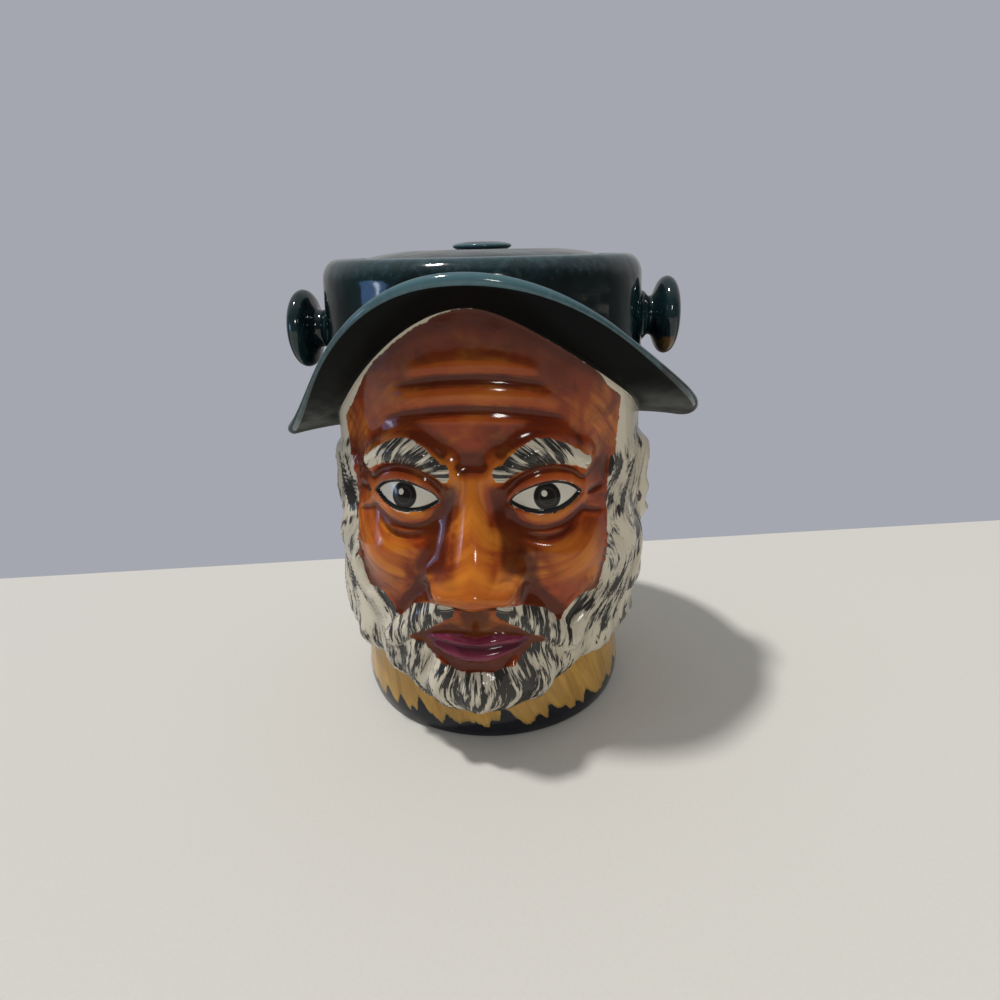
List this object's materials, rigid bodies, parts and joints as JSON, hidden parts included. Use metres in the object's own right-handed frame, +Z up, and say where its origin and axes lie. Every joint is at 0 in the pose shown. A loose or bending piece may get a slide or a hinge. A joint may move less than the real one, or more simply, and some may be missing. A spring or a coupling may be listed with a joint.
{
  "type": "lidded biscuit barrel shaped as a bearded sailor's head",
  "caption": "Hollow glazed pottery jar cast as a bearded sailor's head in a brimmed hat, with side knobs for a handle and a loose round lid as the hat's top.",
  "frame": {"origin": "on the ground under the middle of the foot", "axes": "+Z up, the face looks along -Y, the side knobs lie along X"},
  "size_m": [0.1399, 0.1356, 0.1543],
  "materials": {
    "painted_glaze": "hand painted under a clear gloss glaze",
    "hat_glaze": "dark teal gloss glaze"
  },
  "bodies": {
    "root": {"jar": "painted_glaze", "lid": "hat_glaze"}
  },
  "joints": []
}
